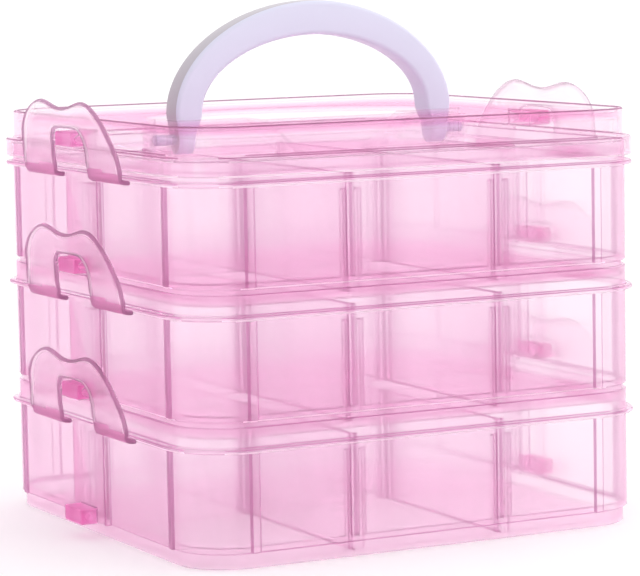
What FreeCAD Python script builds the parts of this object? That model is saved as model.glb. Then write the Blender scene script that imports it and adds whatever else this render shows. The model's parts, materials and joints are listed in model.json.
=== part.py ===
import FreeCAD, Part
import os
import Sketcher

# Stacking organizer box with a folding carry handle.
# Three nested trays with loose dividers, a snap-down lid, a bail handle and six side clips.
# Millimetres. Origin under the middle of the box, X along the front, Y to the back, Z up.

Vector = FreeCAD.Vector
Rotation = FreeCAD.Rotation
Placement = FreeCAD.Placement

doc = FreeCAD.newDocument("organizer")
sheet = doc.addObject("Spreadsheet::Sheet", "dims")

SETTINGS = [
    ("case_width", "155"),
    ("case_depth", "149.4"),
    ("corner_radius", "19.2"),
    ("stack_pitch", "37.6"),
    ("flange_top", "34.8"),
    ("flange_thick", "1.2"),
    ("wall_inset", "2.1"),
    ("wall_thick", "1.7"),
    ("foot_inset", "3.3"),
    ("foot_height", "4.6"),
    ("floor_thick", "1.4"),
    ("nest_clear", "0.15"),
    ("collar_height", "3.2"),
    ("pilaster_half", "11.6"),
    ("boss_half", "6.1"),
    ("boss_reach", "5.5"),
    ("boss_tall", "4.6"),
    ("pin_height", "6.9"),
    ("pin_reach", "2.7"),
    ("pin_radius", "1.2"),
    ("run_clear", "0.05"),
    ("hole_deep", "1.2"),
    ("overrun", "1"),
    ("rail_root", "0.2"),
    ("rib_offset", "0.8"),
    ("rib_wide", "2.8"),
    ("rib_reach", "0.6"),
    ("rail_depth", "1.6"),
    ("rail_thick", "1.5"),
    ("slot_width", "3.2"),
    ("slot_clear", "0.15"),
    ("rail_top", "31.2"),
    ("divider_at", "24.5"),
    ("divider_thick", "1.4"),
    ("divider_top", "35.8"),
    ("end_clear", "0.2"),
    ("bead_depth", "1.8"),
    ("partition_rail", "2.0"),
    ("skirt_inset", "0.1"),
    ("skirt_thick", "1.4"),
    ("skirt_drop", "4.5"),
    ("ledge_thick", "1.2"),
    ("lid_wall_inset", "2.6"),
    ("lid_wall_thick", "1.5"),
    ("lid_rise", "9.65"),
    ("panel_drop", "1.45"),
    ("panel_thick", "1.7"),
    ("pocket_floor", "0.4"),
    ("pocket_skin", "1.3"),
    ("pocket_front", "7"),
    ("pocket_half", "48.8"),
    ("pocket_bulge", "49.6"),
    ("pocket_back", "35.3"),
    ("scoop_half", "26"),
    ("scoop_foot", "13"),
    ("scoop_reach", "20"),
    ("handle_pivot", "5.2"),
    ("bend_height", "8"),
    ("grip_half", "47.5"),
    ("grip_rise", "32.9"),
    ("grip_inner_half", "38.6"),
    ("grip_inner_rise", "22.5"),
    ("leg_outer", "46.5"),
    ("leg_inner", "41"),
    ("handle_deep", "9"),
    ("handle_pin", "1.6"),
    ("handle_pin_end", "53"),
    ("pin_room", "0.4"),
    ("bearing_gap", "1"),
    ("bearing_end", "54.4"),
    ("bearing_half", "3.4"),
    ("clip_thick", "1.4"),
    ("clip_face", "3.4"),
    ("clip_half", "36"),
    ("ear_half", "15"),
    ("ear_top", "17.9"),
    ("ear_dip", "16"),
    ("brow_height", "14.7"),
    ("ear_round", "10.5"),
    ("ear_fall", "0.7"),
    ("hem_taper", "1.2"),
    ("waist_taper", "5"),
    ("ear_lean", "3.5"),
    ("lean_start", "3"),
    ("clip_hem", "1.7"),
    ("window_top", "10.4"),
    ("window_shoulder", "8.6"),
    ("window_cheek", "5"),
    ("cheek_height", "2.8"),
    ("window_half", "7"),
    ("window_brow", "10.6"),
    ("window_wide", "12.4"),
    ("hook_grip", "0.5"),
    ("hook_gap", "0.75"),
    ("hook_thick", "0.9"),
    ("hook_outer", "35.2"),
]
for row, (alias, text) in enumerate(SETTINGS, start=1):
    cell = "B%d" % row
    sheet.set("A%d" % row, alias)
    sheet.set(cell, text)
    sheet.setAlias(cell, alias)
doc.recompute()


def bind(item, prop, expression):
    """Tie one property to the sheet; a leading sheet name is put before each alias."""
    item.setExpression(prop, sized(expression))


def sized(expression):
    """Write sheet aliases in full, so that @name becomes dims.name."""
    return expression.replace("@", "dims.")


def move(item, x="0", y="0", z="0"):
    """Place an item by three sheet expressions."""
    bind(item, "Placement.Base.x", "(%s) * 1 mm" % x)
    bind(item, "Placement.Base.y", "(%s) * 1 mm" % y)
    bind(item, "Placement.Base.z", "(%s) * 1 mm" % z)


def box(name, x, y, z):
    """A box between two limits on each axis, every limit a sheet expression."""
    item = doc.addObject("Part::Box", name)
    bind(item, "Length", "((%s) - (%s)) * 1 mm" % (x[1], x[0]))
    bind(item, "Width", "((%s) - (%s)) * 1 mm" % (y[1], y[0]))
    bind(item, "Height", "((%s) - (%s)) * 1 mm" % (z[1], z[0]))
    move(item, x[0], y[0], z[0])
    return item


def rod(name, axis, radius, start, end, at):
    """A cylinder along X or Y between two limits, with the other two places given."""
    item = doc.addObject("Part::Cylinder", name)
    bind(item, "Radius", "(%s) * 1 mm" % radius)
    bind(item, "Height", "((%s) - (%s)) * 1 mm" % (end, start))
    turn = Rotation(Vector(0, 1, 0), 90) if axis == "x" else Rotation(Vector(1, 0, 0), -90)
    item.Placement = Placement(Vector(0, 0, 0), turn)
    if axis == "x":
        move(item, start, at[0], at[1])
    else:
        move(item, at[0], start, at[1])
    return item


def fuse(name, items):
    item = doc.addObject("Part::MultiFuse", name)
    item.Shapes = items
    item.Refine = True
    return item


def cut(name, base, tool):
    item = doc.addObject("Part::Cut", name)
    item.Base = base
    item.Tool = tool
    item.Refine = True
    return item


def common(name, items):
    item = doc.addObject("Part::MultiCommon", name)
    item.Shapes = items
    item.Refine = True
    return item


def datum(sketch, kind, line, end, label, expression):
    """Hold one line end at a distance from the sketch origin."""
    at = sketch.Geometry[line]
    spot = at.StartPoint if end == 1 else at.EndPoint
    size = spot.x if kind == "DistanceX" else spot.y
    index = sketch.addConstraint(Sketcher.Constraint(kind, -1, 1, line, end, size))
    sketch.renameConstraint(index, label)
    sketch.setExpression("Constraints." + label, "(%s) * 1 mm" % sized(expression))


def outline(name, corners, turn=None):
    """A closed sketch through the given corners, each corner held by two sheet expressions."""
    sketch = doc.addObject("Sketcher::SketchObject", name)
    if turn is not None:
        sketch.Placement = Placement(Vector(0, 0, 0), turn)
    spots = [Vector(value(a), value(b), 0) for a, b in corners]
    count = len(spots)
    for i in range(count):
        sketch.addGeometry(Part.LineSegment(spots[i], spots[(i + 1) % count]), False)
    for i in range(count):
        sketch.addConstraint(Sketcher.Constraint("Coincident", i, 2, (i + 1) % count, 1))
    for i, (across, up) in enumerate(corners):
        datum(sketch, "DistanceX", i, 1, "across%d" % i, across)
        datum(sketch, "DistanceY", i, 1, "up%d" % i, up)
    return sketch


def value(expression):
    """The number that an expression gives with the sheet's present sizes."""
    holder = doc.getObject("reckoner") or doc.addObject("App::FeaturePython", "reckoner")
    if "Number" not in holder.PropertiesList:
        holder.addProperty("App::PropertyFloat", "Number")
    holder.setExpression("Number", sized("(%s) * 1.0" % expression))
    holder.recompute()
    return float(holder.Number)


def raise_outline(name, sketch, height, direction, start):
    """Extrude an outline along an axis, starting at an expression on that axis."""
    item = doc.addObject("Part::Extrusion", name)
    item.Base = sketch
    item.DirMode = "Custom"
    item.Dir = direction
    item.Solid = True
    bind(item, "LengthFwd", "(%s) * 1 mm" % height)
    if abs(direction.z) > 0:
        move(item, "0", "0", start)
    elif abs(direction.x) > 0:
        move(item, start, "0", "0")
    else:
        move(item, "0", start, "0")
    return item


def rounded(name, inset, low, high):
    """A slab of the case outline, drawn in by an inset, between two heights."""
    sketch = doc.addObject("Sketcher::SketchObject", name + "_outline")
    half_w = value("@case_width / 2 - (%s)" % inset)
    half_d = value("@case_depth / 2 - (%s)" % inset)
    radius = value("@corner_radius - (%s)" % inset)
    flat_w = half_w - radius
    flat_d = half_d - radius
    quarter = 1.5707963267948966
    sides = [
        (Vector(-flat_w, -half_d, 0), Vector(flat_w, -half_d, 0)),
        (Vector(half_w, -flat_d, 0), Vector(half_w, flat_d, 0)),
        (Vector(flat_w, half_d, 0), Vector(-flat_w, half_d, 0)),
        (Vector(-half_w, flat_d, 0), Vector(-half_w, -flat_d, 0)),
    ]
    centres = [(flat_w, -flat_d), (flat_w, flat_d), (-flat_w, flat_d), (-flat_w, -flat_d)]
    for start, end in sides:
        sketch.addGeometry(Part.LineSegment(start, end), False)
    for i, (cx, cy) in enumerate(centres):
        circle = Part.Circle(Vector(cx, cy, 0), Vector(0, 0, 1), radius)
        sketch.addGeometry(Part.ArcOfCircle(circle, (i - 1) * quarter, i * quarter), False)
    for i in range(4):
        sketch.addConstraint(Sketcher.Constraint("Tangent", i, 2, 4 + i, 1))
        sketch.addConstraint(Sketcher.Constraint("Tangent", 4 + i, 2, (i + 1) % 4, 1))
    for i in range(3):
        sketch.addConstraint(Sketcher.Constraint("Equal", 4, 5 + i))
    sketch.addConstraint(Sketcher.Constraint("Horizontal", 0))
    sketch.addConstraint(Sketcher.Constraint("Vertical", 1))
    bound = [
        ("DistanceX", 1, "east", "@case_width / 2 - (%s)"),
        ("DistanceX", 3, "west", "-(@case_width / 2 - (%s))"),
        ("DistanceY", 0, "south", "-(@case_depth / 2 - (%s))"),
        ("DistanceY", 2, "north", "@case_depth / 2 - (%s)"),
    ]
    for kind, line, label, expression in bound:
        datum(sketch, kind, line, 1, label, expression % inset)
    index = sketch.addConstraint(Sketcher.Constraint("Radius", 4, radius))
    sketch.renameConstraint(index, "corner")
    sketch.setExpression("Constraints.corner", "(%s) * 1 mm" % sized("@corner_radius - (%s)" % inset))
    return raise_outline(name, sketch, "(%s) - (%s)" % (high, low), Vector(0, 0, 1), low)


def finish(item, node, level="0"):
    """Give a finished piece its name and its place in the stack."""
    item.Label = node
    bind(item, "Placement.Base.z", "(%s) * 1 mm" % level)
    NODES.append(item)
    return item


NODES = []
FRONT_TURN = Rotation(Vector(1, 0, 0), 90)
SIDE_TURN = Rotation(Vector(1, 1, 1), 120)

INNER = "@wall_inset + @wall_thick"
FOOT_INNER = "@foot_inset + @wall_thick"
STEP = "@foot_height + @floor_thick"
COLLAR_TOP = "@stack_pitch + @collar_height"
HALF_W = "@case_width / 2"
HALF_D = "@case_depth / 2"
RAIL_MID = "(@slot_width + @rail_thick) / 2"


def rail_pairs(prefix):
    """Upright rails that hold the dividers: two pairs front and back, one pair each side."""
    rails = []
    for along in (-1, 1):
        for side in (-1, 1):
            for hand in (-1, 1):
                mid = "%d * @divider_at + %d * (%s)" % (along, hand, RAIL_MID)
                deep = [
                    "%d * (%s - @foot_inset - @rail_root)" % (side, HALF_D),
                    "%d * (%s - (%s) - @rail_depth)" % (side, HALF_D, INNER),
                ]
                deep.sort(key=value)
                rails.append(box(
                    "%s_rail_%d" % (prefix, len(rails)),
                    ("%s - @rail_thick / 2" % mid, "%s + @rail_thick / 2" % mid),
                    (deep[0], deep[1]),
                    ("@floor_thick / 2", "@rail_top"),
                ))
    for side in (-1, 1):
        for hand in (-1, 1):
            mid = "%d * (%s)" % (hand, RAIL_MID)
            deep = [
                "%d * (%s - @wall_thick / 2)" % (side, HALF_W),
                "%d * (%s - (%s) - @rail_depth)" % (side, HALF_W, INNER),
            ]
            deep.sort(key=value)
            rails.append(box(
                "%s_rail_%d" % (prefix, len(rails)),
                (deep[0], deep[1]),
                ("%s - @rail_thick / 2" % mid, "%s + @rail_thick / 2" % mid),
                ("@foot_height", "@rail_top"),
            ))
    return rails


def corner_ribs(prefix):
    """Upright ribs on the outside, where the flat walls meet the corner curves, under the flange."""
    ribs = []
    for sx in (-1, 1):
        for sy in (-1, 1):
            flat_x = "%d * (%s - @corner_radius - @rib_offset)" % (sx, HALF_W)
            flat_y = "%d * (%s - @corner_radius - @rib_offset)" % (sy, HALF_D)
            deep_y = [
                "%d * (%s - @wall_inset - @wall_thick / 2)" % (sy, HALF_D),
                "%d * (%s - @wall_inset + @rib_reach)" % (sy, HALF_D),
            ]
            deep_x = [
                "%d * (%s - @wall_inset - @wall_thick / 2)" % (sx, HALF_W),
                "%d * (%s - @wall_inset + @rib_reach)" % (sx, HALF_W),
            ]
            deep_y.sort(key=value)
            deep_x.sort(key=value)
            ribs.append(box(
                "%s_rib_%d" % (prefix, len(ribs)),
                ("%s - @rib_wide / 2" % flat_x, "%s + @rib_wide / 2" % flat_x),
                (deep_y[0], deep_y[1]),
                ("@foot_height", "@flange_top - @flange_thick / 2"),
            ))
            ribs.append(box(
                "%s_rib_%d" % (prefix, len(ribs)),
                (deep_x[0], deep_x[1]),
                ("%s - @rib_wide / 2" % flat_y, "%s + @rib_wide / 2" % flat_y),
                ("@foot_height", "@flange_top - @flange_thick / 2"),
            ))
    return ribs


def clip_boss(prefix, side, root, low):
    """The block a side clip turns on, with a blind pivot hole in each end."""
    reach = "%s + @boss_reach" % HALF_W
    across = ["%d * (%s)" % (side, root), "%d * (%s)" % (side, reach)]
    across.sort(key=value)
    body = box(
        "%s_boss_%d" % (prefix, side),
        (across[0], across[1]),
        ("-@boss_half", "@boss_half"),
        (low, "%s + @boss_tall" % low),
    )
    return body


def pivot_holes(prefix, side, level):
    """Blind holes in both ends of a clip boss."""
    holes = []
    for hand in (-1, 1):
        ends = ["%d * (@boss_half - @hole_deep)" % hand, "%d * (@boss_half + @overrun)" % hand]
        ends.sort(key=value)
        holes.append(rod(
            "%s_hole_%d_%d" % (prefix, side, hand),
            "y", "@pin_radius + @run_clear", ends[0], ends[1],
            ("%d * (%s + @pin_reach)" % (side, HALF_W), level),
        ))
    return holes


def build_tray(node, storey):
    """One tray: foot, wall with collar, flange, rails, ribs, clip bosses and its hollow."""
    foot = rounded(node + "_foot", "@foot_inset", "0", "@foot_height")
    wall = rounded(node + "_wall", "@wall_inset", "@foot_height", COLLAR_TOP)
    flange = rounded(node + "_flange", "0", "@flange_top - @flange_thick", "@flange_top")
    solids = [foot, wall, flange]
    for side in (-1, 1):
        across = ["%d * (%s - @corner_radius / 2)" % (side, HALF_W), "%d * (%s)" % (side, HALF_W)]
        across.sort(key=value)
        solids.append(box(
            "%s_pilaster_%d" % (node, side),
            (across[0], across[1]),
            ("-@pilaster_half", "@pilaster_half"),
            ("@foot_height", "@flange_top"),
        ))
        solids.append(clip_boss(node, side, "%s - @wall_thick / 2" % HALF_W, "@foot_height"))
    block = fuse(node + "_block", solids)
    hollows = [
        rounded(node + "_low_hollow", FOOT_INNER, "@floor_thick", STEP),
        rounded(node + "_hollow", INNER, STEP, "@stack_pitch"),
        rounded(node + "_collar_hollow", "@foot_inset - @nest_clear", "@stack_pitch",
                "%s + @overrun" % COLLAR_TOP),
        box(node + "_pilaster_hollow",
            ("-%s + @wall_thick" % HALF_W, "%s - @wall_thick" % HALF_W),
            ("-@pilaster_half + @wall_thick", "@pilaster_half - @wall_thick"),
            (STEP, "@flange_top - 2 * @flange_thick")),
    ]
    for side in (-1, 1):
        hollows.extend(pivot_holes(node, side, "@pin_height"))
    hollow = fuse(node + "_space", hollows)
    shell = cut(node + "_shell", block, hollow)
    whole = fuse(node + "_whole", [shell] + rail_pairs(node) + corner_ribs(node))
    finish(whole, node, "%d * @stack_pitch" % storey)


def build_partition(node, storey):
    """The long divider between the two side walls, with rails for the short dividers."""
    low_end = "%s - (%s) - @end_clear" % (HALF_W, FOOT_INNER)
    high_end = "%s - (%s) - @end_clear" % (HALF_W, INNER)
    corners = [
        ("-(%s)" % low_end, "@floor_thick"),
        (low_end, "@floor_thick"),
        (low_end, "%s + @end_clear" % STEP),
        (high_end, "%s + @end_clear" % STEP),
        (high_end, "@divider_top"),
        ("-(%s)" % high_end, "@divider_top"),
        ("-(%s)" % high_end, "%s + @end_clear" % STEP),
        ("-(%s)" % low_end, "%s + @end_clear" % STEP),
    ]
    sheet_outline = outline(node + "_outline", corners, FRONT_TURN)
    plate = raise_outline(node + "_plate", sheet_outline, "@divider_thick",
                          Vector(0, 1, 0), "-@divider_thick / 2")
    solids = [plate]
    for side in (-1, 1):
        across = [
            "%d * (%s)" % (side, high_end),
            "%d * (%s - @bead_depth)" % (side, high_end),
        ]
        across.sort(key=value)
        solids.append(box(
            "%s_bead_%d" % (node, side),
            (across[0], across[1]),
            ("-@slot_width / 2 + @slot_clear", "@slot_width / 2 - @slot_clear"),
            ("%s + @end_clear" % STEP, "@rail_top"),
        ))
    for along in (-1, 1):
        for hand in (-1, 1):
            mid = "%d * @divider_at + %d * (%s)" % (along, hand, RAIL_MID)
            reach = "(@divider_thick / 2 + @partition_rail)"
            solids.append(box(
                "%s_rail_%d_%d" % (node, along, hand),
                ("%s - @rail_thick / 2" % mid, "%s + @rail_thick / 2" % mid),
                ("-" + reach, reach),
                ("@floor_thick", "@rail_top"),
            ))
    finish(fuse(node + "_whole", solids), node, "%d * @stack_pitch" % storey)


def build_divider(node, storey, along, side):
    """A short divider between the long partition and the front or back wall."""
    near = "@divider_thick / 2 + @end_clear"
    low_far = "%s - (%s) - @end_clear" % (HALF_D, FOOT_INNER)
    far = "%s - (%s) - @end_clear" % (HALF_D, INNER)
    corners = [
        ("%d * (%s)" % (side, near), "@floor_thick"),
        ("%d * (%s)" % (side, low_far), "@floor_thick"),
        ("%d * (%s)" % (side, low_far), "%s + @end_clear" % STEP),
        ("%d * (%s)" % (side, far), "%s + @end_clear" % STEP),
        ("%d * (%s)" % (side, far), "@divider_top"),
        ("%d * (%s)" % (side, near), "@divider_top"),
    ]
    sheet_outline = outline(node + "_outline", corners, SIDE_TURN)
    mid = "%d * @divider_at" % along
    plate = raise_outline(node + "_plate", sheet_outline, "@divider_thick",
                          Vector(1, 0, 0), "%s - @divider_thick / 2" % mid)
    solids = [plate]
    spans = [
        ["%d * (%s)" % (side, near), "%d * (%s + @bead_depth - @end_clear)" % (side, near),
         "@floor_thick"],
        ["%d * (%s)" % (side, far), "%d * (%s - @bead_depth)" % (side, far),
         "%s + @end_clear" % STEP],
    ]
    for i, (first, second, low) in enumerate(spans):
        ends = sorted([first, second], key=value)
        solids.append(box(
            "%s_bead_%d" % (node, i),
            ("%s - @slot_width / 2 + @slot_clear" % mid, "%s + @slot_width / 2 - @slot_clear" % mid),
            (ends[0], ends[1]),
            (low, "@divider_top"),
        ))
    finish(fuse(node + "_whole", solids), node, "%d * @stack_pitch" % storey)


LID_BASE = "3 * @stack_pitch"
LID_LEDGE = "@collar_height"
LID_TOP = "@collar_height + @lid_rise"
PANEL_TOP = "@collar_height + @lid_rise - @panel_drop"


def pocket_solid(prefix, grow, low, high):
    """The recess for the folded handle: a straight front, tapering sides and an oval back."""
    name = "%s_pocket" % prefix
    front = "-@pocket_front - (%s)" % grow
    half = "@pocket_half + (%s)" % grow
    bulge = "@pocket_bulge + (%s)" % grow
    back = "@pocket_back + (%s)" % grow
    corners = [
        ("-(%s)" % half, front),
        (half, front),
        (bulge, "@bend_height"),
        ("-(%s)" % bulge, "@bend_height"),
    ]
    square = raise_outline(name + "_front", outline(name + "_front_outline", corners),
                           "(%s) - (%s)" % (high, low), Vector(0, 0, 1), low)
    oval = doc.addObject("Part::Ellipse", name + "_oval")
    bind(oval, "MajorRadius", "(%s) * 1 mm" % bulge)
    bind(oval, "MinorRadius", "(%s) * 1 mm" % back)
    move(oval, "0", "@bend_height", "0")
    round_part = raise_outline(name + "_back", oval, "(%s) - (%s)" % (high, low),
                               Vector(0, 0, 1), low)
    keep = box(name + "_keep", ("-@case_width", "@case_width"),
               ("@bend_height - @overrun / 2", "@case_depth"), (low, high))
    return fuse(name, [square, common(name + "_half", [round_part, keep])])


def scoop_solid(prefix, grow, low, high):
    """The finger scoop in front of the handle recess, its ends sloping to the recess floor."""
    name = "%s_scoop" % prefix
    top = "@scoop_half + (%s)" % grow
    foot = "@scoop_foot + (%s)" % grow
    corners = [
        ("-(%s)" % foot, low),
        (foot, low),
        (top, high),
        ("-(%s)" % top, high),
    ]
    sheet_outline = outline(name + "_outline", corners, FRONT_TURN)
    reach = "@scoop_reach + (%s)" % grow
    return raise_outline(name, sheet_outline, "(%s) - @pocket_front + @overrun" % reach,
                         Vector(0, 1, 0), "-(%s)" % reach)


def build_lid():
    """The lid: skirt over the top tray, rim wall, panel, handle recess and clip bosses."""
    node = "lid"
    skirt_low = "@collar_height - @skirt_drop"
    ledge_top = "@collar_height + @ledge_thick"
    solids = [
        rounded("lid_skirt", "@skirt_inset", skirt_low, ledge_top),
        rounded("lid_rim", "@lid_wall_inset", LID_LEDGE, LID_TOP),
    ]
    for side in (-1, 1):
        solids.append(clip_boss(node, side, "%s - @lid_wall_inset - @overrun" % HALF_W, "@foot_height"))
    block = fuse("lid_block", solids)
    lid_inner = "@lid_wall_inset + @lid_wall_thick"
    hollows = [
        rounded("lid_skirt_hollow", "@skirt_inset + @skirt_thick", "%s - @overrun" % skirt_low, LID_LEDGE),
        rounded("lid_hollow", lid_inner, "@collar_height - @overrun", "%s - @panel_thick" % PANEL_TOP),
        rounded("lid_dish", lid_inner, PANEL_TOP, "%s + @overrun" % LID_TOP),
    ]
    for side in (-1, 1):
        hollows.extend(pivot_holes(node, side, "@pin_height"))
    shell = cut("lid_shell", block, fuse("lid_space", hollows))
    cup_low = "@pocket_floor - @pocket_skin"
    cup = pocket_solid("lid_cup", "@pocket_skin", cup_low, PANEL_TOP)
    scoop = scoop_solid("lid_cup", "@pocket_skin", cup_low, PANEL_TOP)
    bearings = []
    tunnels = []
    for side in (-1, 1):
        ends = ["%d * (@leg_outer + @bearing_gap)" % side, "%d * @bearing_end" % side]
        ends.sort(key=value)
        bearings.append(rod("lid_bearing_%d" % side, "x", "@bearing_half", ends[0], ends[1],
                            ("0", "@handle_pivot")))
        ends = ["%d * (@leg_outer - @overrun)" % side, "%d * (@handle_pin_end + @pin_room)" % side]
        ends.sort(key=value)
        tunnels.append(rod("lid_tunnel_%d" % side, "x", "@handle_pin + @run_clear", ends[0], ends[1],
                           ("0", "@handle_pivot")))
    filled = fuse("lid_filled", [shell, cup, scoop])
    high = "%s + 2 * @overrun" % PANEL_TOP
    recess = pocket_solid("lid_recess", "0", "@pocket_floor", high)
    finger = scoop_solid("lid_recess", "0", "@pocket_floor", PANEL_TOP)
    hollowed = cut("lid_hollowed", filled, fuse("lid_recess_space", [recess, finger]))
    eared = fuse("lid_eared", [hollowed] + bearings)
    whole = cut("lid_whole", eared, fuse("lid_tunnels", tunnels))
    finish(whole, node, LID_BASE)


def oval_block(name, half, rise):
    """Half of an oval cylinder standing on the bend line, as deep as the handle."""
    oval = doc.addObject("Part::Ellipse", name + "_oval")
    bind(oval, "MajorRadius", "(%s) * 1 mm" % half)
    bind(oval, "MinorRadius", "(%s) * 1 mm" % rise)
    oval.Placement = Placement(Vector(0, 0, 0), FRONT_TURN)
    move(oval, "0", "0", "@bend_height")
    whole = raise_outline(name + "_bar", oval, "@handle_deep", Vector(0, 1, 0), "-@handle_deep / 2")
    keep = box(name + "_keep", ("-@case_width", "@case_width"),
               ("-@case_depth", "@case_depth"), ("@bend_height", "@case_depth"))
    return common(name, [whole, keep])


def build_handle():
    """The bail handle, upright, with round feet and a pivot pin on each foot."""
    node = "handle"
    arch = cut("handle_arch",
               oval_block("handle_outer", "@grip_half", "@grip_rise"),
               oval_block("handle_inner", "@grip_inner_half", "@grip_inner_rise"))
    legs = []
    ends_and_pins = []
    for side in (-1, 1):
        word = "left" if side < 0 else "right"
        corners = [
            ("%d * @leg_inner" % side, "0"),
            ("%d * @leg_outer" % side, "0"),
            ("%d * @grip_half" % side, "@bend_height"),
            ("%d * @grip_inner_half" % side, "@bend_height"),
        ]
        leg_outline = outline("handle_leg_outline_" + word, corners, FRONT_TURN)
        legs.append(raise_outline("handle_leg_" + word, leg_outline, "@handle_deep",
                                  Vector(0, 1, 0), "-@handle_deep / 2"))
        ends = ["%d * @leg_inner" % side, "%d * @leg_outer" % side]
        ends.sort(key=value)
        ends_and_pins.append(rod("handle_foot_" + word, "x", "@handle_deep / 2", ends[0], ends[1],
                                 ("0", "0")))
        ends = ["%d * (@leg_outer - @overrun)" % side, "%d * @handle_pin_end" % side]
        ends.sort(key=value)
        ends_and_pins.append(rod("handle_pin_" + word, "x", "@handle_pin", ends[0], ends[1],
                                 ("0", "0")))
    finish(fuse("handle_whole", [arch] + legs + ends_and_pins), node,
           "%s + @handle_pivot" % LID_BASE)


def clip_side_outline(name):
    """The clip seen from its end: hook tip, hook, plate and leaning ears."""
    back = "%s + @clip_face - @clip_thick" % HALF_W
    face = "%s + @clip_face" % HALF_W
    tip = "%s - @hook_grip" % HALF_W
    under = "@flange_top - @flange_thick - @stack_pitch"
    hook_top = "%s - @hook_gap" % under
    hook_low = "%s - @hook_gap - @hook_thick" % under
    bend = "@lean_start"
    corners = [
        (tip, hook_low),
        ("%s - @hook_thick / 2" % back, hook_low),
        (face, "-@clip_hem - @clip_thick / 2"),
        (face, bend),
        ("%s + @ear_lean" % face, "@ear_top + @overrun"),
        ("%s + @ear_lean" % back, "@ear_top + @overrun"),
        (back, bend),
        (back, "-@clip_hem - @clip_thick / 2"),
        ("%s - @clip_thick" % back, hook_top),
        (tip, hook_top),
    ]
    return outline(name, corners, FRONT_TURN)


def clip_face_outline(name):
    """The clip seen from the side of the box: two legs with hooks, two ears and a dip."""
    hook_low = "@flange_top - @flange_thick - @stack_pitch - @hook_gap - @hook_thick - @overrun"
    right = [
        ("@window_wide", "-@clip_hem"),
        ("@window_wide", hook_low),
        ("@hook_outer", hook_low),
        ("@clip_half", "-@clip_hem"),
        ("@clip_half - @hem_taper", "@cheek_height"),
        ("@clip_half - @waist_taper", "@window_top"),
        ("@ear_half + @ear_round", "@brow_height"),
        ("@ear_half + @ear_round / 2", "@ear_top - @ear_fall"),
        ("@ear_half", "@ear_top"),
        ("@ear_half - @ear_round / 2.5", "@ear_top - @ear_fall"),
        ("@ear_half / 3", "@ear_dip"),
    ]
    left = [("-(%s)" % across, up) for across, up in reversed(right)]
    return outline(name, right + left, SIDE_TURN)


def build_clip(node, storey, side):
    """One side clip, made for the right side and turned half a circle for the left."""
    profile = raise_outline(node + "_profile", clip_side_outline(node + "_profile_outline"),
                            "2 * @clip_half", Vector(0, 1, 0), "-@clip_half")
    shape = raise_outline(node + "_shape", clip_face_outline(node + "_shape_outline"),
                          "3 * @boss_reach", Vector(1, 0, 0), "%s - @boss_reach" % HALF_W)
    plate = common(node + "_plate", [profile, shape])
    slot_low = "@flange_top - @flange_thick - @stack_pitch - @hook_gap - @hook_thick - @overrun"
    window_corners = [
        ("-@window_wide", slot_low),
        ("@window_wide", slot_low),
        ("@window_wide", "@window_cheek"),
        ("@window_brow", "@window_shoulder"),
        ("@window_half", "@window_top"),
        ("-@window_half", "@window_top"),
        ("-@window_brow", "@window_shoulder"),
        ("-@window_wide", "@window_cheek"),
    ]
    window = raise_outline(node + "_window", outline(node + "_window_outline", window_corners, SIDE_TURN),
                           "3 * @boss_reach", Vector(1, 0, 0), "%s - @boss_reach" % HALF_W)
    solids = [cut(node + "_open", plate, window)]
    for hand in (-1, 1):
        ends = ["%d * (@boss_half - @overrun)" % hand, "%d * (@window_wide + @overrun / 2)" % hand]
        ends.sort(key=value)
        solids.append(rod("%s_pin_%d" % (node, hand), "y", "@pin_radius", ends[0], ends[1],
                          ("%s + @pin_reach" % HALF_W, "@pin_height")))
    whole = fuse(node + "_whole", solids)
    if side < 0:
        whole.Placement = Placement(Vector(0, 0, 0), Rotation(Vector(0, 0, 1), 180))
    finish(whole, node, "%d * @stack_pitch" % storey)


STOREYS = ["bottom", "middle", "top"]
for storey, word in enumerate(STOREYS):
    build_tray("tray_" + word, storey)
    build_partition("partition_" + word, storey)
    for side_word, side in (("front", -1), ("back", 1)):
        for along_word, along in (("left", -1), ("right", 1)):
            build_divider("divider_%s_%s_%s" % (word, side_word, along_word), storey, along, side)
build_lid()
build_handle()
for word, storey in (("middle", 1), ("top", 2), ("lid", 3)):
    for side_word, side in (("left", -1), ("right", 1)):
        build_clip("clip_%s_%s" % (word, side_word), storey, side)

doc.recompute()

for item in doc.Objects:
    if "Invalid" in item.State or "Error" in item.State:
        raise RuntimeError("%s does not build: %s" % (item.Name, item.State))
for item in NODES:
    if item.Shape.isNull() or not item.Shape.isValid():
        raise RuntimeError("%s has no valid shape" % item.Label)
    if len(item.Shape.Solids) != 1:
        raise RuntimeError("%s is %d solids" % (item.Label, len(item.Shape.Solids)))

os.makedirs("parts", exist_ok=True)
for item in NODES:
    item.Shape.exportStep(os.path.join("parts", item.Label + ".step"))
    size = item.Shape.BoundBox
    print(item.Label, round(item.Shape.Volume, 1), [round(v, 2) for v in (
        size.XMin, size.XMax, size.YMin, size.YMax, size.ZMin, size.ZMax)])
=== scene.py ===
"""Translucent pink organizer box with three trays, side clips, a lid and a pearl carry handle."""
import json
import math

import bmesh
import bpy
import numpy as np
from mathutils import Matrix, Vector


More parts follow.
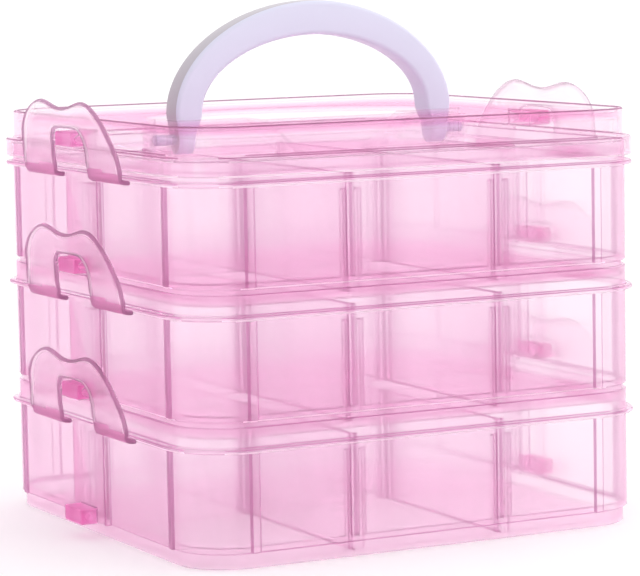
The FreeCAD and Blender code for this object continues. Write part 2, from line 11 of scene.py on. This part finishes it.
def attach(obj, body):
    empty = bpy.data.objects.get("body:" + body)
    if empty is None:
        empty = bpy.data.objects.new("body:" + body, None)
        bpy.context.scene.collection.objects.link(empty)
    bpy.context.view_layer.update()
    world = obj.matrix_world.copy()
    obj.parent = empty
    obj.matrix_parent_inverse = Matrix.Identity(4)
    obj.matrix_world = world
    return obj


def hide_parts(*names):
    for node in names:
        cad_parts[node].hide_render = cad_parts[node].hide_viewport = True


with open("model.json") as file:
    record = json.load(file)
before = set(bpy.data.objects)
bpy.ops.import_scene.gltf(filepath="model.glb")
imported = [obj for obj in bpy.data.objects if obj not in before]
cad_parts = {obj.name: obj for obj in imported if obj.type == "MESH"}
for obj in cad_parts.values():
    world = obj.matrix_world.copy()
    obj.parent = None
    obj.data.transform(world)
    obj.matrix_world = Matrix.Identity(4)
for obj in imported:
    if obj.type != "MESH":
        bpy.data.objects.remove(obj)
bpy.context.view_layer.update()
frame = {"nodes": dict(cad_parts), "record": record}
scene = bpy.context.scene
behaviour = frame["record"]["behaviour"]
body_of = {node: body for body, nodes in behaviour["bodies"].items() for node in nodes}

# Sizes in millimetres, as the part has them.
MM = 0.001
STOREY = 37.6
CASE_X, CASE_Y = 77.5, 74.7
WALL_INSET = 2.1
RIB_REACH = 0.6
BOSS_HALF = 6.1
RAIL_FOOT, RAIL_TOP = 5.0, 32.0
MARGIN = 0.3

# Where marked faces are looked for: bands in millimetres, and slopes as the normal's upward share.
LID_TOP_BAND, LID_WALL_BAND = 0.8, 3
LUG_START, RIB_SLACK = 0.2, 0.1
UPRIGHT, DOWNWARD = 0.3, -0.3

# The photograph's view: slightly above, from the front left, through a long lens.
CAMERA_YAW, CAMERA_PITCH, CAMERA_ROLL = 0.480, 0.110, -0.018
CAMERA_PLACE = (-0.43157, -0.83302, 0.17344)
CAMERA_LENS = 170.9
CAMERA_FILM = 36
CAMERA_NEAR, CAMERA_FAR = 0.01, 100

# The room: brighter on the right, and a floor that lights the box from below.
ROOM_LEFT, ROOM_RIGHT = 0.68, 1.6
FLOOR_HALF = 40
FLOOR_DROP = 0.0003
FLOOR_GLOW = 1.1
FLOOR_GLOW_LIT, FLOOR_GLOW_SEEN = 0.65, 0.20

# Plastic colours: the tint in the depth, the milk in it, clear film, the white of the painted
# highlights, and the handle's pearl with a darker pearl as painted shade on its outer face.
TINT = (0.955, 0.40, 0.74)
MILK = (0.98, 0.76, 0.91)
CLEAR = (1, 1, 1)
PAINTED_GLINT_WHITE = (1.0, 0.95, 0.98)
LUG_PINK = (0.96, 0.42, 0.74)
PEARL = (0.71, 0.70, 0.85)
PEARL_SHADED = (0.50, 0.45, 0.51)
PEARL_ROUGH = 0.35
MILK_THROUGH = 0.5

# Chamfers: widths in millimetres and the edge angles in degrees past which they go on.
TRAY_CHAMFER, LID_CHAMFER, CLIP_CHAMFER = 0.36, 0.42, 0.4
MOULD_ANGLE, CLIP_ANGLE = 35, 50
SHADE_ANGLE = 30
MERGE = 1e-6

# How strongly each kind of edge strip takes its painted edge shade, each wall its painted side shade,
# and the inner clip line its painted highlight.
RAIL_LINE, TRAY_INNER_LINE, LID_INNER_LINE, PARTITION_LINE = 0.75, 0.35, 0.2, 0.4
LID_SIDE_SHADE, TRAY_SIDE_SHADE_BACK, TRAY_SIDE_SHADE_FRONT = 0.4, 1, 0.35
RIGHT_CLIP_LINE = 0.5
INNER_PAINTED_GLINT = 0.6


def place_camera():
    """The view ahead is the yaw and pitch as a unit vector, and the roll turns side into up."""
    yaw, pitch, roll = CAMERA_YAW, CAMERA_PITCH, CAMERA_ROLL
    ahead = Vector((math.sin(yaw) * math.cos(pitch), math.cos(yaw) * math.cos(pitch),
                    -math.sin(pitch)))
    right = Vector((math.cos(yaw), -math.sin(yaw), 0))
    up = right.cross(ahead)
    side = right * math.cos(roll) + up * math.sin(roll)
    top = up * math.cos(roll) - right * math.sin(roll)
    data = bpy.data.cameras.new("camera")
    data.sensor_fit = "HORIZONTAL"
    data.sensor_width = CAMERA_FILM
    data.lens = CAMERA_LENS
    data.clip_start = CAMERA_NEAR
    data.clip_end = CAMERA_FAR
    camera = bpy.data.objects.new("camera", data)
    rows = [(*axes, spot) for axes, spot in zip(zip(side, top, -ahead), CAMERA_PLACE)]
    camera.matrix_world = Matrix(rows + [(0, 0, 0, 1)])
    scene.collection.objects.link(camera)
    scene.camera = camera


def new_material(name):
    """An empty material, its node tree and its output."""
    mat = bpy.data.materials.new(name)
    mat.use_nodes = True
    tree = mat.node_tree
    tree.nodes.clear()
    return mat, tree, tree.nodes.new("ShaderNodeOutputMaterial")


def blend_of(tree, share, first, second):
    """Two shaders mixed by a fixed share, or by the mark of that name on the mesh."""
    mix = tree.nodes.new("ShaderNodeMixShader")
    if isinstance(share, str):
        mark = tree.nodes.new("ShaderNodeAttribute")
        mark.attribute_name = share
        tree.links.new(mark.outputs["Fac"], mix.inputs[0])
    else:
        mix.inputs[0].default_value = share
    tree.links.new(first.outputs[0], mix.inputs[1])
    tree.links.new(second.outputs[0], mix.inputs[2])
    return mix


def skin_of(tree, film=CLEAR, haze=0.05, milk=MILK, rough=0.3, bend=1.12, clear=0.75):
    """One kind of plastic surface: part soft lens, part straight sight, part milk."""
    window = tree.nodes.new("ShaderNodeBsdfPrincipled")
    window.inputs["Base Color"].default_value = (*film, 1)
    window.inputs["Roughness"].default_value = rough
    window.inputs["IOR"].default_value = bend
    window.inputs["Transmission Weight"].default_value = 1
    window.distribution = "MULTI_GGX"
    straight = tree.nodes.new("ShaderNodeBsdfTransparent")
    straight.inputs[0].default_value = (*film, 1)
    cloud = tree.nodes.new("ShaderNodeBsdfTranslucent")
    cloud.inputs[0].default_value = (*milk, 1)
    chalk = tree.nodes.new("ShaderNodeBsdfDiffuse")
    chalk.inputs[0].default_value = (*milk, 1)
    milky = blend_of(tree, 1 - MILK_THROUGH, cloud, chalk)
    sight = blend_of(tree, clear, window, straight)
    return blend_of(tree, haze, sight, milky)


def clear_plastic(name, density, plain, marked):
    """Milky tinted plastic whose tint deepens with the length of plastic looked through.
    The plain skin is everywhere, and each marked skin covers it where its mark is set."""
    mat, tree, out = new_material(name)
    whole = skin_of(tree, **plain)
    for mark, skin in marked.items():
        whole = blend_of(tree, mark, whole, skin_of(tree, **skin))
    tree.links.new(whole.outputs[0], out.inputs["Surface"])
    depth = tree.nodes.new("ShaderNodeVolumeAbsorption")
    depth.inputs["Color"].default_value = (*TINT, 1)
    depth.inputs["Density"].default_value = density
    tree.links.new(depth.outputs[0], out.inputs["Volume"])
    return mat


def pearl_plastic(name, tone):
    """Opaque plastic with a soft gloss."""
    mat, tree, out = new_material(name)
    skin = tree.nodes.new("ShaderNodeBsdfPrincipled")
    skin.inputs["Base Color"].default_value = (*tone, 1)
    skin.inputs["Roughness"].default_value = PEARL_ROUGH
    tree.links.new(skin.outputs[0], out.inputs["Surface"])
    return mat


def light_room():
    """A plain white room whose light rises from the left to the right."""
    world = bpy.data.worlds.new("room")
    scene.world = world
    world.use_nodes = True
    tree = world.node_tree
    light = tree.nodes["Background"]
    light.inputs[0].default_value = (1, 1, 1, 1)
    where = tree.nodes.new("ShaderNodeTexCoord")
    parts = tree.nodes.new("ShaderNodeSeparateXYZ")
    level = tree.nodes.new("ShaderNodeMapRange")
    level.inputs["From Min"].default_value = -1
    level.inputs["From Max"].default_value = 1
    level.inputs["To Min"].default_value = ROOM_LEFT
    level.inputs["To Max"].default_value = ROOM_RIGHT
    tree.links.new(where.outputs["Generated"], parts.inputs[0])
    tree.links.new(parts.outputs[0], level.inputs[0])
    tree.links.new(level.outputs[0], light.inputs[1])
    plain = tree.nodes.new("ShaderNodeBackground")
    plain.inputs[1].default_value = 1.0
    eye = tree.nodes.new("ShaderNodeLightPath")
    pick = tree.nodes.new("ShaderNodeMixShader")
    tree.links.new(eye.outputs["Is Camera Ray"], pick.inputs[0])
    tree.links.new(light.outputs[0], pick.inputs[1])
    tree.links.new(plain.outputs[0], pick.inputs[2])
    tree.links.new(pick.outputs[0], tree.nodes["World Output"].inputs[0])


def lay_floor():
    """A wide white floor just under the foot; it glows a little and keeps the box's shadow."""
    half = FLOOR_HALF
    mesh = bpy.data.meshes.new("floor")
    mesh.from_pydata([(-half, -half, 0), (half, -half, 0), (half, half, 0), (-half, half, 0)],
                     [], [(0, 1, 2, 3)])
    floor = bpy.data.objects.new("floor", mesh)
    floor.location.z = -FLOOR_DROP
    scene.collection.objects.link(floor)
    mat, tree, out = new_material("floor_white")
    skin = tree.nodes.new("ShaderNodeBsdfDiffuse")
    skin.inputs[0].default_value = (1, 1, 1, 1)
    glow = tree.nodes.new("ShaderNodeEmission")
    glow.inputs[1].default_value = FLOOR_GLOW
    eye = tree.nodes.new("ShaderNodeLightPath")
    share = tree.nodes.new("ShaderNodeMath")
    share.operation = "MULTIPLY_ADD"
    share.inputs[1].default_value = FLOOR_GLOW_SEEN - FLOOR_GLOW_LIT
    share.inputs[2].default_value = FLOOR_GLOW_LIT
    tree.links.new(eye.outputs["Is Camera Ray"], share.inputs[0])
    blend = tree.nodes.new("ShaderNodeMixShader")
    tree.links.new(share.outputs[0], blend.inputs[0])
    tree.links.new(skin.outputs[0], blend.inputs[1])
    tree.links.new(glow.outputs[0], blend.inputs[2])
    tree.links.new(blend.outputs[0], out.inputs["Surface"])
    floor.data.materials.append(mat)


def read_mark(mesh, word):
    """The values of a face mark, one for each face."""
    values = np.empty(len(mesh.polygons), np.float32)
    mesh.attributes[word].data.foreach_get("value", values)
    return values


def write_mark(mesh, word, values):
    """Sets a face mark, which is made where the mesh has none of that name."""
    layer = mesh.attributes.get(word) or mesh.attributes.new(word, "FLOAT", "FACE")
    layer.data.foreach_set("value", np.asarray(values, np.float32))


def face_field(mesh, word):
    """The centres or normals of all faces as three columns."""
    values = np.empty(len(mesh.polygons) * 3, np.float32)
    mesh.polygons.foreach_get(word, values)
    return values.reshape(-1, 3)


def ease_edges(grid, width, segments, limit):
    """Small chamfers on the edges sharper than the limit; the new strips are marked for painted edge
    shade.
    """
    sharp = [line for line in grid.edges
             if len(line.link_faces) == 2 and line.calc_face_angle() > math.radians(limit)]
    made = bmesh.ops.bevel(grid, geom=sharp, offset=width * MM, offset_type="OFFSET", segments=segments,
                           profile=0.5, affect="EDGES", clamp_overlap=False)
    mark = grid.faces.layers.float["painted_edge_shade"]
    for face in made["faces"]:
        face[mark] = 1


def soften(grid, limit):
    """Curved walls shade smoothly, with the shading broken at edges sharper than the limit."""
    for face in grid.faces:
        face.smooth = True
    for line in grid.edges:
        if len(line.link_faces) == 2:
            line.smooth = line.calc_face_angle() < math.radians(limit)


def mark_tray_or_lid(mesh, node):
    """Painted shade strips on outer edges, weaker ones inside, painted highlight strips under the outer
    ledges;
    the clip lugs get their own mark, the upright ribs full painted shade, and some upright walls
    painted side shade."""
    is_lid = node == "lid"
    spot, normal = face_field(mesh, "center") / MM, face_field(mesh, "normal")
    x, y, z = spot.T
    painted_edge_shade = read_mark(mesh, "painted_edge_shade")
    strip = painted_edge_shade > 0
    corners = np.empty(len(mesh.vertices) * 3, np.float32)
    mesh.vertices.foreach_get("co", corners)
    low, high = corners[2::3].min() / MM, corners[2::3].max() / MM
    wall_x, wall_y = CASE_X - WALL_INSET, CASE_Y - WALL_INSET
    outside = (abs(x) > wall_x - MARGIN) | (abs(y) > wall_y - MARGIN)
    if is_lid:
        outside |= z > high - LID_TOP_BAND
    inner = LID_INNER_LINE if is_lid else np.where(
        (z - low > RAIL_FOOT) & (z - low < RAIL_TOP), RAIL_LINE, TRAY_INNER_LINE)
    # Painted edge shade: full on the outer edge strips, weaker on the inner ones.
    painted_edge_shade = np.where(strip, np.where(outside, 1, inner), 0)
    # Painted highlight on the downward-facing outer strips under the ledges, in place of the painted
    # edge shade.
    painted_glint = strip & outside & (normal[:, 2] < DOWNWARD) & (z > STOREY / 2)
    painted_edge_shade[painted_glint] = 0
    lug = (abs(x) > CASE_X + LUG_START) & (abs(y) < BOSS_HALF + MARGIN)
    rib = ~lug & (abs(abs(x) - wall_x - RIB_REACH) < RIB_SLACK) & (not is_lid)
    # The upright ribs beside the walls take full painted edge shade.
    painted_edge_shade[rib] = 1
    # Painted side shade on upright walls: on the lid near its front and left walls, on the trays on the
    # left wall, fuller at the back.
    upright = ~lug & ~rib & (abs(normal[:, 2]) < UPRIGHT) & (painted_edge_shade == 0) & ~painted_glint
    if is_lid:
        near = (y < MARGIN - wall_y + LID_WALL_BAND) | (x < MARGIN - wall_x + LID_WALL_BAND)
        side = np.where(upright & near, LID_SIDE_SHADE, 0)
    else:
        left = upright & (x < MARGIN - wall_x)
        side = np.where(left, np.where(y > 0, TRAY_SIDE_SHADE_BACK, TRAY_SIDE_SHADE_FRONT), 0)
    for word, values in (("painted_edge_shade", painted_edge_shade), ("painted_glint", painted_glint), ("lug", lug), ("side", side)):
        write_mark(mesh, word, values)


def moulded_copy(node):
    """A copy of the part's own piece with its sharp edges chamfered and its faces marked."""
    mesh = frame["nodes"][node].data.copy()
    mesh.name = node + "_moulded"
    mesh.materials.clear()
    grid = bmesh.new()
    grid.from_mesh(mesh)
    bmesh.ops.remove_doubles(grid, verts=grid.verts, dist=MERGE)
    for word in ("painted_edge_shade", "lug", "side", "painted_glint"):
        grid.faces.layers.float.new(word)
    ease_edges(grid, LID_CHAMFER if node == "lid" else TRAY_CHAMFER, 1, MOULD_ANGLE)
    soften(grid, SHADE_ANGLE)
    grid.to_mesh(mesh)
    grid.free()
    if node == "lid" or node.startswith("tray"):
        mark_tray_or_lid(mesh, node)
    elif node.startswith("partition"):
        # Partitions take a weaker painted edge shade on their strips.
        write_mark(mesh, "painted_edge_shade", read_mark(mesh, "painted_edge_shade") * PARTITION_LINE)
    mesh.materials.append(lid_plastic if node == "lid" else wall_plastic)
    return seat_piece(mesh, node)


def seat_piece(mesh, node):
    """The mesh as an object that moves with its node's body and stands in for the node."""
    piece = bpy.data.objects.new(mesh.name, mesh)
    scene.collection.objects.link(piece)
    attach(piece, body_of[node])
    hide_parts(node)
    return piece


def new_mesh(name, verts, faces, mats, smooth=True):
    """A mesh from points in millimetres, with all faces turned outwards."""
    mesh = bpy.data.meshes.new(name)
    mesh.from_pydata(verts * MM, [], faces)
    grid = bmesh.new()
    grid.from_mesh(mesh)
    bmesh.ops.recalc_face_normals(grid, faces=grid.faces)
    grid.to_mesh(mesh)
    grid.free()
    mesh.polygons.foreach_set("use_smooth", np.full(len(mesh.polygons), smooth))
    for mat in mats:
        mesh.materials.append(mat)
    return mesh


def smooth_line(points, count, steps=16):
    """Evenly spaced points on the cubic curve that passes through the given ones,
    each span shaped by its two ends and their two neighbours."""
    pts = np.array(points, float)
    ends = np.vstack([2 * pts[0] - pts[1], pts, 2 * pts[-1] - pts[-2]])
    p0, p1, p2, p3 = (ends[k:len(ends) - 3 + k, None] for k in range(4))
    t = np.linspace(0, 1, steps, endpoint=False)[None, :, None]
    dense = 0.5 * (2 * p1 + (p2 - p0) * t + (2 * p0 - 5 * p1 + 4 * p2 - p3) * t ** 2
                   + (3 * p1 - p0 - 3 * p2 + p3) * t ** 3)
    dense = np.vstack([dense.reshape(-1, 2), pts[-1]])
    run = np.concatenate([[0], np.cumsum(np.linalg.norm(np.diff(dense, axis=0), axis=1))])
    at = np.linspace(0, run[-1], count)
    return np.column_stack([np.interp(at, run, dense[:, k]) for k in range(2)])


def rod(axis, radius, ends, place, start=0, sides=20):
    """A round pin along an axis: two rings of equal radius joined by quads, with flat ends."""
    turn = 2 * np.pi * np.arange(sides) / sides
    rings = np.empty((2, sides, 3))
    across, up = [n for n in range(3) if n != axis]
    rings[:, :, axis] = np.array(ends)[:, None]
    rings[:, :, across] = place[0] + radius * np.cos(turn)
    rings[:, :, up] = place[1] + radius * np.sin(turn)
    here = start + np.arange(sides)
    after = start + (np.arange(sides) + 1) % sides
    walls = np.column_stack([here, after, after + sides, here + sides]).tolist()
    return rings.reshape(-1, 3), walls + [here[::-1].tolist(), (here + sides).tolist()]


GRIP_HALF, GRIP_RISE, GRIP_POWER = 47.5, 32.9, 1.9
GRIP_IN_HALF, GRIP_IN_RISE, GRIP_IN_POWER = 38.6, 22.5, 1.94
LEG_OUT, LEG_IN = 46.5, 41.0
BEND_HEIGHT = 8
HANDLE_DEEP = 4.5
HANDLE_PIVOT = 5.2
HANDLE_Z = 3 * STOREY + HANDLE_PIVOT
HANDLE_SOFT, SOFTEST_SHARE = 1.5, 0.95
HANDLE_TIP = 0.4
HANDLE_PIN, HANDLE_PIN_FROM, HANDLE_PIN_TO = 1.6, 45.5, 53.0
FOOT_STEPS, TAPER_STEPS, BOW_STEPS = 8, 6, 64
CORNER_STEPS = 6
# Ring faces on the outer face of the bow and legs, which take the painted shade.
SHADED_OUTER_FACES = (0, 22, 23)


def soft_rectangles(half_w, half_d, radius):
    """Corner-rounded outlines, one for each station: at each corner the centre of the
    rounding plus the radius turned through a quarter circle."""
    radius = np.minimum(radius, SOFTEST_SHARE * np.minimum(half_w, half_d))[:, None]
    quarter = np.linspace(0, 90, CORNER_STEPS)
    turn = np.radians(np.concatenate([first + quarter for first in (0, 90, 180, 270)]))
    sign_w = np.repeat((1, -1, -1, 1), CORNER_STEPS)
    sign_d = np.repeat((1, 1, -1, -1), CORNER_STEPS)
    across = sign_w * (half_w[:, None] - radius) + radius * np.cos(turn)
    deep = sign_d * (half_d[:, None] - radius) + radius * np.sin(turn)
    return across, deep


def oval(turn, half, rise, power):
    """The bow's outline: the cosine and sine of the turn, each raised to two over the power,
    which makes it a little leaner at the shoulders than a true oval."""
    across, up = np.cos(turn), np.sin(turn)
    reach = half * np.copysign(np.abs(across) ** (2 / power), across)
    return np.column_stack([reach, BEND_HEIGHT + rise * np.maximum(up, 0) ** (2 / power)])


def build_handle():
    """The pearl bail: an oval bow with soft edges, tapering legs with round feet, and two pins.
    Inner and outer outlines are paired station by station, with a soft rectangle round each pair."""
    foot = -HANDLE_DEEP * np.cos(np.pi / 2 * np.arange(FOOT_STEPS + 1) / FOOT_STEPS)
    foot_deep = np.maximum(np.sqrt(np.maximum(HANDLE_DEEP ** 2 - foot ** 2, 0)), HANDLE_TIP)
    t = np.arange(1, TAPER_STEPS) / TAPER_STEPS
    soft = t * t * (3 - 2 * t)
    inner_leg = np.vstack([
        np.column_stack([np.full(len(foot), -LEG_IN), foot]),
        np.column_stack([-LEG_IN + (LEG_IN - GRIP_IN_HALF) * soft, BEND_HEIGHT * t]),
    ])
    outer_leg = np.vstack([
        np.column_stack([np.full(len(foot), -LEG_OUT), foot]),
        np.column_stack([-LEG_OUT - (GRIP_HALF - LEG_OUT) * soft, BEND_HEIGHT * t]),
    ])
    leg_deep = np.concatenate([foot_deep, np.full(len(t), HANDLE_DEEP)])
    turn = np.pi * (1 - np.arange(BOW_STEPS + 1) / BOW_STEPS)
    mirrored = np.array((-1, 1))
    inner = np.vstack([inner_leg, oval(turn, GRIP_IN_HALF, GRIP_IN_RISE, GRIP_IN_POWER),
                       inner_leg[::-1] * mirrored])
    outer = np.vstack([outer_leg, oval(turn, GRIP_HALF, GRIP_RISE, GRIP_POWER),
                       outer_leg[::-1] * mirrored])
    depth = np.concatenate([leg_deep, np.full(len(turn), HANDLE_DEEP), leg_deep[::-1]])
    mid, half = (inner + outer) / 2, (outer - inner) / 2
    width = np.linalg.norm(half, axis=1)
    across, deep = soft_rectangles(width, depth, HANDLE_SOFT)
    spot = mid[:, None] + (half / width[:, None])[:, None] * across[:, :, None]
    verts = np.stack([spot[:, :, 0], deep, HANDLE_Z + spot[:, :, 1]], axis=2)
    count, ring = across.shape
    here = np.arange(count * ring).reshape(count, ring)
    after = np.roll(here, -1, axis=1)
    quads = np.stack([here[:-1], after[:-1], after[1:], here[1:]], axis=2).reshape(-1, 4)
    faces = quads.tolist() + [here[0].tolist(), here[-1].tolist()]
    verts = verts.reshape(-1, 3)
    for side in (-1, 1):
        ends = (side * HANDLE_PIN_FROM, side * HANDLE_PIN_TO)
        pin, pin_faces = rod(0, HANDLE_PIN, ends, (0, HANDLE_Z), len(verts))
        verts = np.vstack([verts, pin])
        faces += pin_faces
    mesh = new_mesh("handle_moulded", verts, faces, [pearl, pearl_shaded])
    # The outer face takes the darker pearl: painted shade on the handle's outer face.
    index = np.zeros(len(faces), np.int32)
    index[:len(quads)] = np.isin(np.arange(len(quads)) % ring, SHADED_OUTER_FACES)
    mesh.polygons.foreach_set("material_index", index)
    return seat_piece(mesh, "handle")


CLIP_OUTLINE = [(36.0, -1.7), (35.5, 1.0), (34.2, 4.2), (31.6, 9.0), (28.4, 12.6), (24.5, 15.3),
                (20.0, 17.2), (15.8, 17.9), (12.0, 17.6), (8.0, 16.8), (4.0, 16.1), (0, 15.9)]
CLIP_SLOT = [(12.4, -1.7), (12.6, 1.5), (12.4, 5.0), (11.4, 7.8), (9.2, 9.7), (6.0, 10.4), (0, 10.5)]
CLIP_HOOK = [(77.0, -4.9), (78.2, -4.95), (79.4, -4.75), (80.35, -4.2), (80.8, -3.3)]
CLIP_ACROSS = [0, 0.03, 0.07, 0.12, 0.2, 0.35, 0.5, 0.65, 0.78, 0.86, 0.92, 0.96, 1.0]
CLIP_HALF_STEPS = 34
CLIP_FACE = 80.9
CLIP_THICK = 1.3
CLIP_HEM = 1.7
HOOK_IN, HOOK_OUT = 12.6, 35.2
LEAN, LEAN_FROM, LEAN_OVER, LEAN_EASED = 2.1, 2.5, 15.5, 0.6
FLARE_AT = ((-1.7, 0, 4, 9, 14, 18), (0.2, 0.5, 1.1, 1.7, 1.5, 1.1))
FLARE_WIDE, FLARE_POWER = 3.2, 1.6
LIP, LIP_WIDE, LIP_POWER, LIP_RISE = 0.7, 1.8, 1.4, 3
HOOK_BAND = 1.2
CLIP_PIN, CLIP_PIN_FROM, CLIP_PIN_TO, CLIP_PIN_X, CLIP_PIN_Z = 1.2, 5.1, 12.9, 80.2, 6.9


def clip_sheet():
    """The clip's outer face, row by row from one hook over the top to the other.
    Each row runs from the slot's edge to the outline. It leans outwards with height, part straight
    and part eased; the rim flares by a power of its nearness, and the slot has a small lip."""
    outer = smooth_line(CLIP_OUTLINE, CLIP_HALF_STEPS)
    slot = smooth_line(CLIP_SLOT, CLIP_HALF_STEPS)
    outer = np.vstack([outer, outer[-2::-1] * (-1, 1)])
    slot = np.vstack([slot, slot[-2::-1] * (-1, 1)])
    across = np.array(CLIP_ACROSS)
    reach = np.linalg.norm(outer - slot, axis=1)[:, None]
    spot = slot[:, None] + (outer - slot)[:, None] * across[None, :, None]
    y, z = spot[:, :, 0], spot[:, :, 1]
    lean = np.clip((z - LEAN_FROM) / LEAN_OVER, 0, 1)
    x = CLIP_FACE + LEAN * (lean ** 2 * (3 - 2 * lean) * LEAN_EASED + lean * (1 - LEAN_EASED))
    rim = np.clip(1 - reach * (1 - across) / FLARE_WIDE, 0, 1)
    x = x + np.interp(z, *FLARE_AT) * rim ** FLARE_POWER
    lip = np.clip(1 - reach * across / LIP_WIDE, 0, 1)
    x = x + LIP * lip ** LIP_POWER * np.clip((z + CLIP_HEM) / LIP_RISE, 0, 1)
    plate = np.stack([x, y, z], axis=2)
    hook_x, hook_z = np.array(CLIP_HOOK).T
    hook = np.empty((len(CLIP_HOOK), len(across), 3))
    hook[:, :, 0] = hook_x[:, None]
    hook[:, :, 1] = HOOK_IN + (HOOK_OUT - HOOK_IN) * across
    hook[:, :, 2] = hook_z[:, None]
    return np.concatenate([hook, plate, hook[::-1] * (1, -1, 1)])


def build_clip(word, storey, side_word, side):
    """A side clip: a two-legged plate closed round its rim, and its two pins. The back lies a
    thickness behind the face along the cross product of the two directions on the face."""
    node = "clip_%s_%s" % (word, side_word)
    front = clip_sheet()
    tall, wide = front.shape[:2]
    away = np.cross(np.gradient(front, axis=0), np.gradient(front, axis=1))
    away /= np.linalg.norm(away, axis=2, keepdims=True)
    away *= np.sign(away[tall // 2, 0, 0])
    back = front - CLIP_THICK * away
    verts = np.concatenate([front, back]).reshape(-1, 3) * (side, side, 1) + (0, 0, storey * STOREY)
    here = np.arange(tall * wide).reshape(tall, wide)
    quads = np.stack([here[:-1, :-1], here[:-1, 1:], here[1:, 1:], here[1:, :-1]], axis=2)
    quads = quads.reshape(-1, 4)
    sheets = np.stack([quads, quads[:, ::-1] + tall * wide], axis=1).reshape(-1, 4)
    rim = np.concatenate([here[0], here[1:, -1], here[-1, -2::-1], here[-2:0:-1, 0]])
    after = np.roll(rim, -1)
    edge = np.column_stack([rim, after, after + tall * wide, rim + tall * wide])
    faces = np.vstack([sheets, edge])
    mesh = new_mesh(node + "_moulded", verts, faces.tolist(), [clip_plastic])
    painted_edge_shade, painted_glint = np.zeros(len(faces)), np.zeros(len(faces))
    # Painted edge shade on the rim faces round the plate.
    painted_edge_shade[len(sheets):] = 1
    # Painted highlight lines: one on the row just inside the outer rim, a fainter one beside the slot.
    rows = np.arange(len(CLIP_HOOK), tall - len(CLIP_HOOK) - 1) * (wide - 1)
    painted_glint[2 * (rows + wide - 3)] = 1
    painted_glint[2 * (rows + 1)] = INNER_PAINTED_GLINT
    write_mark(mesh, "painted_edge_shade", painted_edge_shade)
    write_mark(mesh, "painted_glint", painted_glint)
    grid = bmesh.new()
    grid.from_mesh(mesh)
    ease_edges(grid, CLIP_CHAMFER, 2, CLIP_ANGLE)
    grid.to_mesh(mesh)
    grid.free()
    mesh.polygons.foreach_set("use_smooth", np.full(len(mesh.polygons), True))
    hook_top = storey * STOREY - HOOK_BAND
    write_mark(mesh, "lug", face_field(mesh, "center")[:, 2] / MM < hook_top)
    # The right-hand clips take a weaker painted edge shade.
    if side > 0:
        write_mark(mesh, "painted_edge_shade", (read_mark(mesh, "painted_edge_shade") > 0) * RIGHT_CLIP_LINE)
    seat_piece(mesh, node)
    pins, pin_faces = np.empty((0, 3)), []
    for hand in (-1, 1):
        ends = (hand * CLIP_PIN_FROM, hand * CLIP_PIN_TO)
        place = (side * CLIP_PIN_X, storey * STOREY + CLIP_PIN_Z)
        pin, walls = rod(1, CLIP_PIN, ends, place, len(pins))
        pins = np.vstack([pins, pin])
        pin_faces += walls
    seat_piece(new_mesh(node + "_pins", pins, pin_faces, [clip_plastic], smooth=False), node)


scene.view_settings.view_transform = "Standard"
scene.cycles.max_bounces = 44
scene.cycles.diffuse_bounces = 24
scene.cycles.glossy_bounces = 24
scene.cycles.transmission_bounces = 40
scene.cycles.transparent_max_bounces = 48
place_camera()
light_room()
lay_floor()

wall_plastic = clear_plastic("wall_plastic", density=51, plain=dict(haze=0.04, rough=0.35), marked={
    # Painted edge shade: a darker film on the marked strips.
    "painted_edge_shade": dict(film=(0.64, 0.40, 0.56), haze=0.08, milk=(0.84, 0.58, 0.76), bend=1.25, clear=0.65),
    "lug": dict(film=(0.92, 0.46, 0.73), haze=0.18, milk=LUG_PINK, rough=0.4, bend=1.2, clear=0.2),
    # Painted side shade: a darker pink film on the marked walls.
    "side": dict(film=(0.96, 0.81, 0.90), haze=0.06, rough=0.35),
    # Painted highlight: a whiter, milkier skin on the marked strips.
    "painted_glint": dict(haze=0.6, milk=PAINTED_GLINT_WHITE, bend=1.15, clear=0.8),
})
lid_skin = dict(haze=0.03, rough=0.25, clear=0.88)
lid_plastic = clear_plastic("lid_plastic", density=28, plain=lid_skin, marked={
    # Painted edge shade: a darker film on the marked strips.
    "painted_edge_shade": dict(film=(0.58, 0.35, 0.49), haze=0.08, milk=(0.80, 0.54, 0.70), bend=1.25, clear=0.7),
    "lug": dict(film=(0.90, 0.42, 0.70), haze=0.18, milk=LUG_PINK, rough=0.4, bend=1.2, clear=0.2),
    # Painted side shade: a darker pink film on the marked walls.
    "side": dict(film=(0.98, 0.84, 0.93), haze=0.02, rough=0.25, clear=0.9),
    # Painted highlight: a whiter, milkier skin on the marked strips.
    "painted_glint": dict(haze=0.6, milk=PAINTED_GLINT_WHITE, bend=1.15, clear=0.8),
})
clip_skin = dict(haze=0.06, milk=(0.98, 0.82, 0.92), bend=1.15, clear=0.78)
clip_plastic = clear_plastic("clip_plastic", density=62, plain=clip_skin, marked={
    # Painted highlight: a whiter, milkier skin on the marked strips.
    "painted_glint": dict(haze=0.7, milk=PAINTED_GLINT_WHITE, bend=1.15, clear=0.8),
    "lug": dict(film=(0.92, 0.66, 0.82), haze=0.12, milk=(0.96, 0.70, 0.86), bend=1.2, clear=0.6),
    # Painted edge shade: a darker film on the clip's rim and its chamfers.
    "painted_edge_shade": dict(film=(0.50, 0.32, 0.45), haze=0.20, milk=(0.66, 0.45, 0.60), bend=1.3, clear=0.5),
})
pearl = pearl_plastic("pearl_plastic", PEARL)
# A darker pearl: painted shade for the handle's outer face.
pearl_shaded = pearl_plastic("pearl_shaded_plastic", PEARL_SHADED)

for node in sorted(frame["nodes"]):
    if node != "handle" and not node.startswith("clip"):
        moulded_copy(node)
build_handle()
for word, storey in (("middle", 1), ("top", 2), ("lid", 3)):
    for side_word, side in (("left", -1), ("right", 1)):
        build_clip(word, storey, side_word, side)
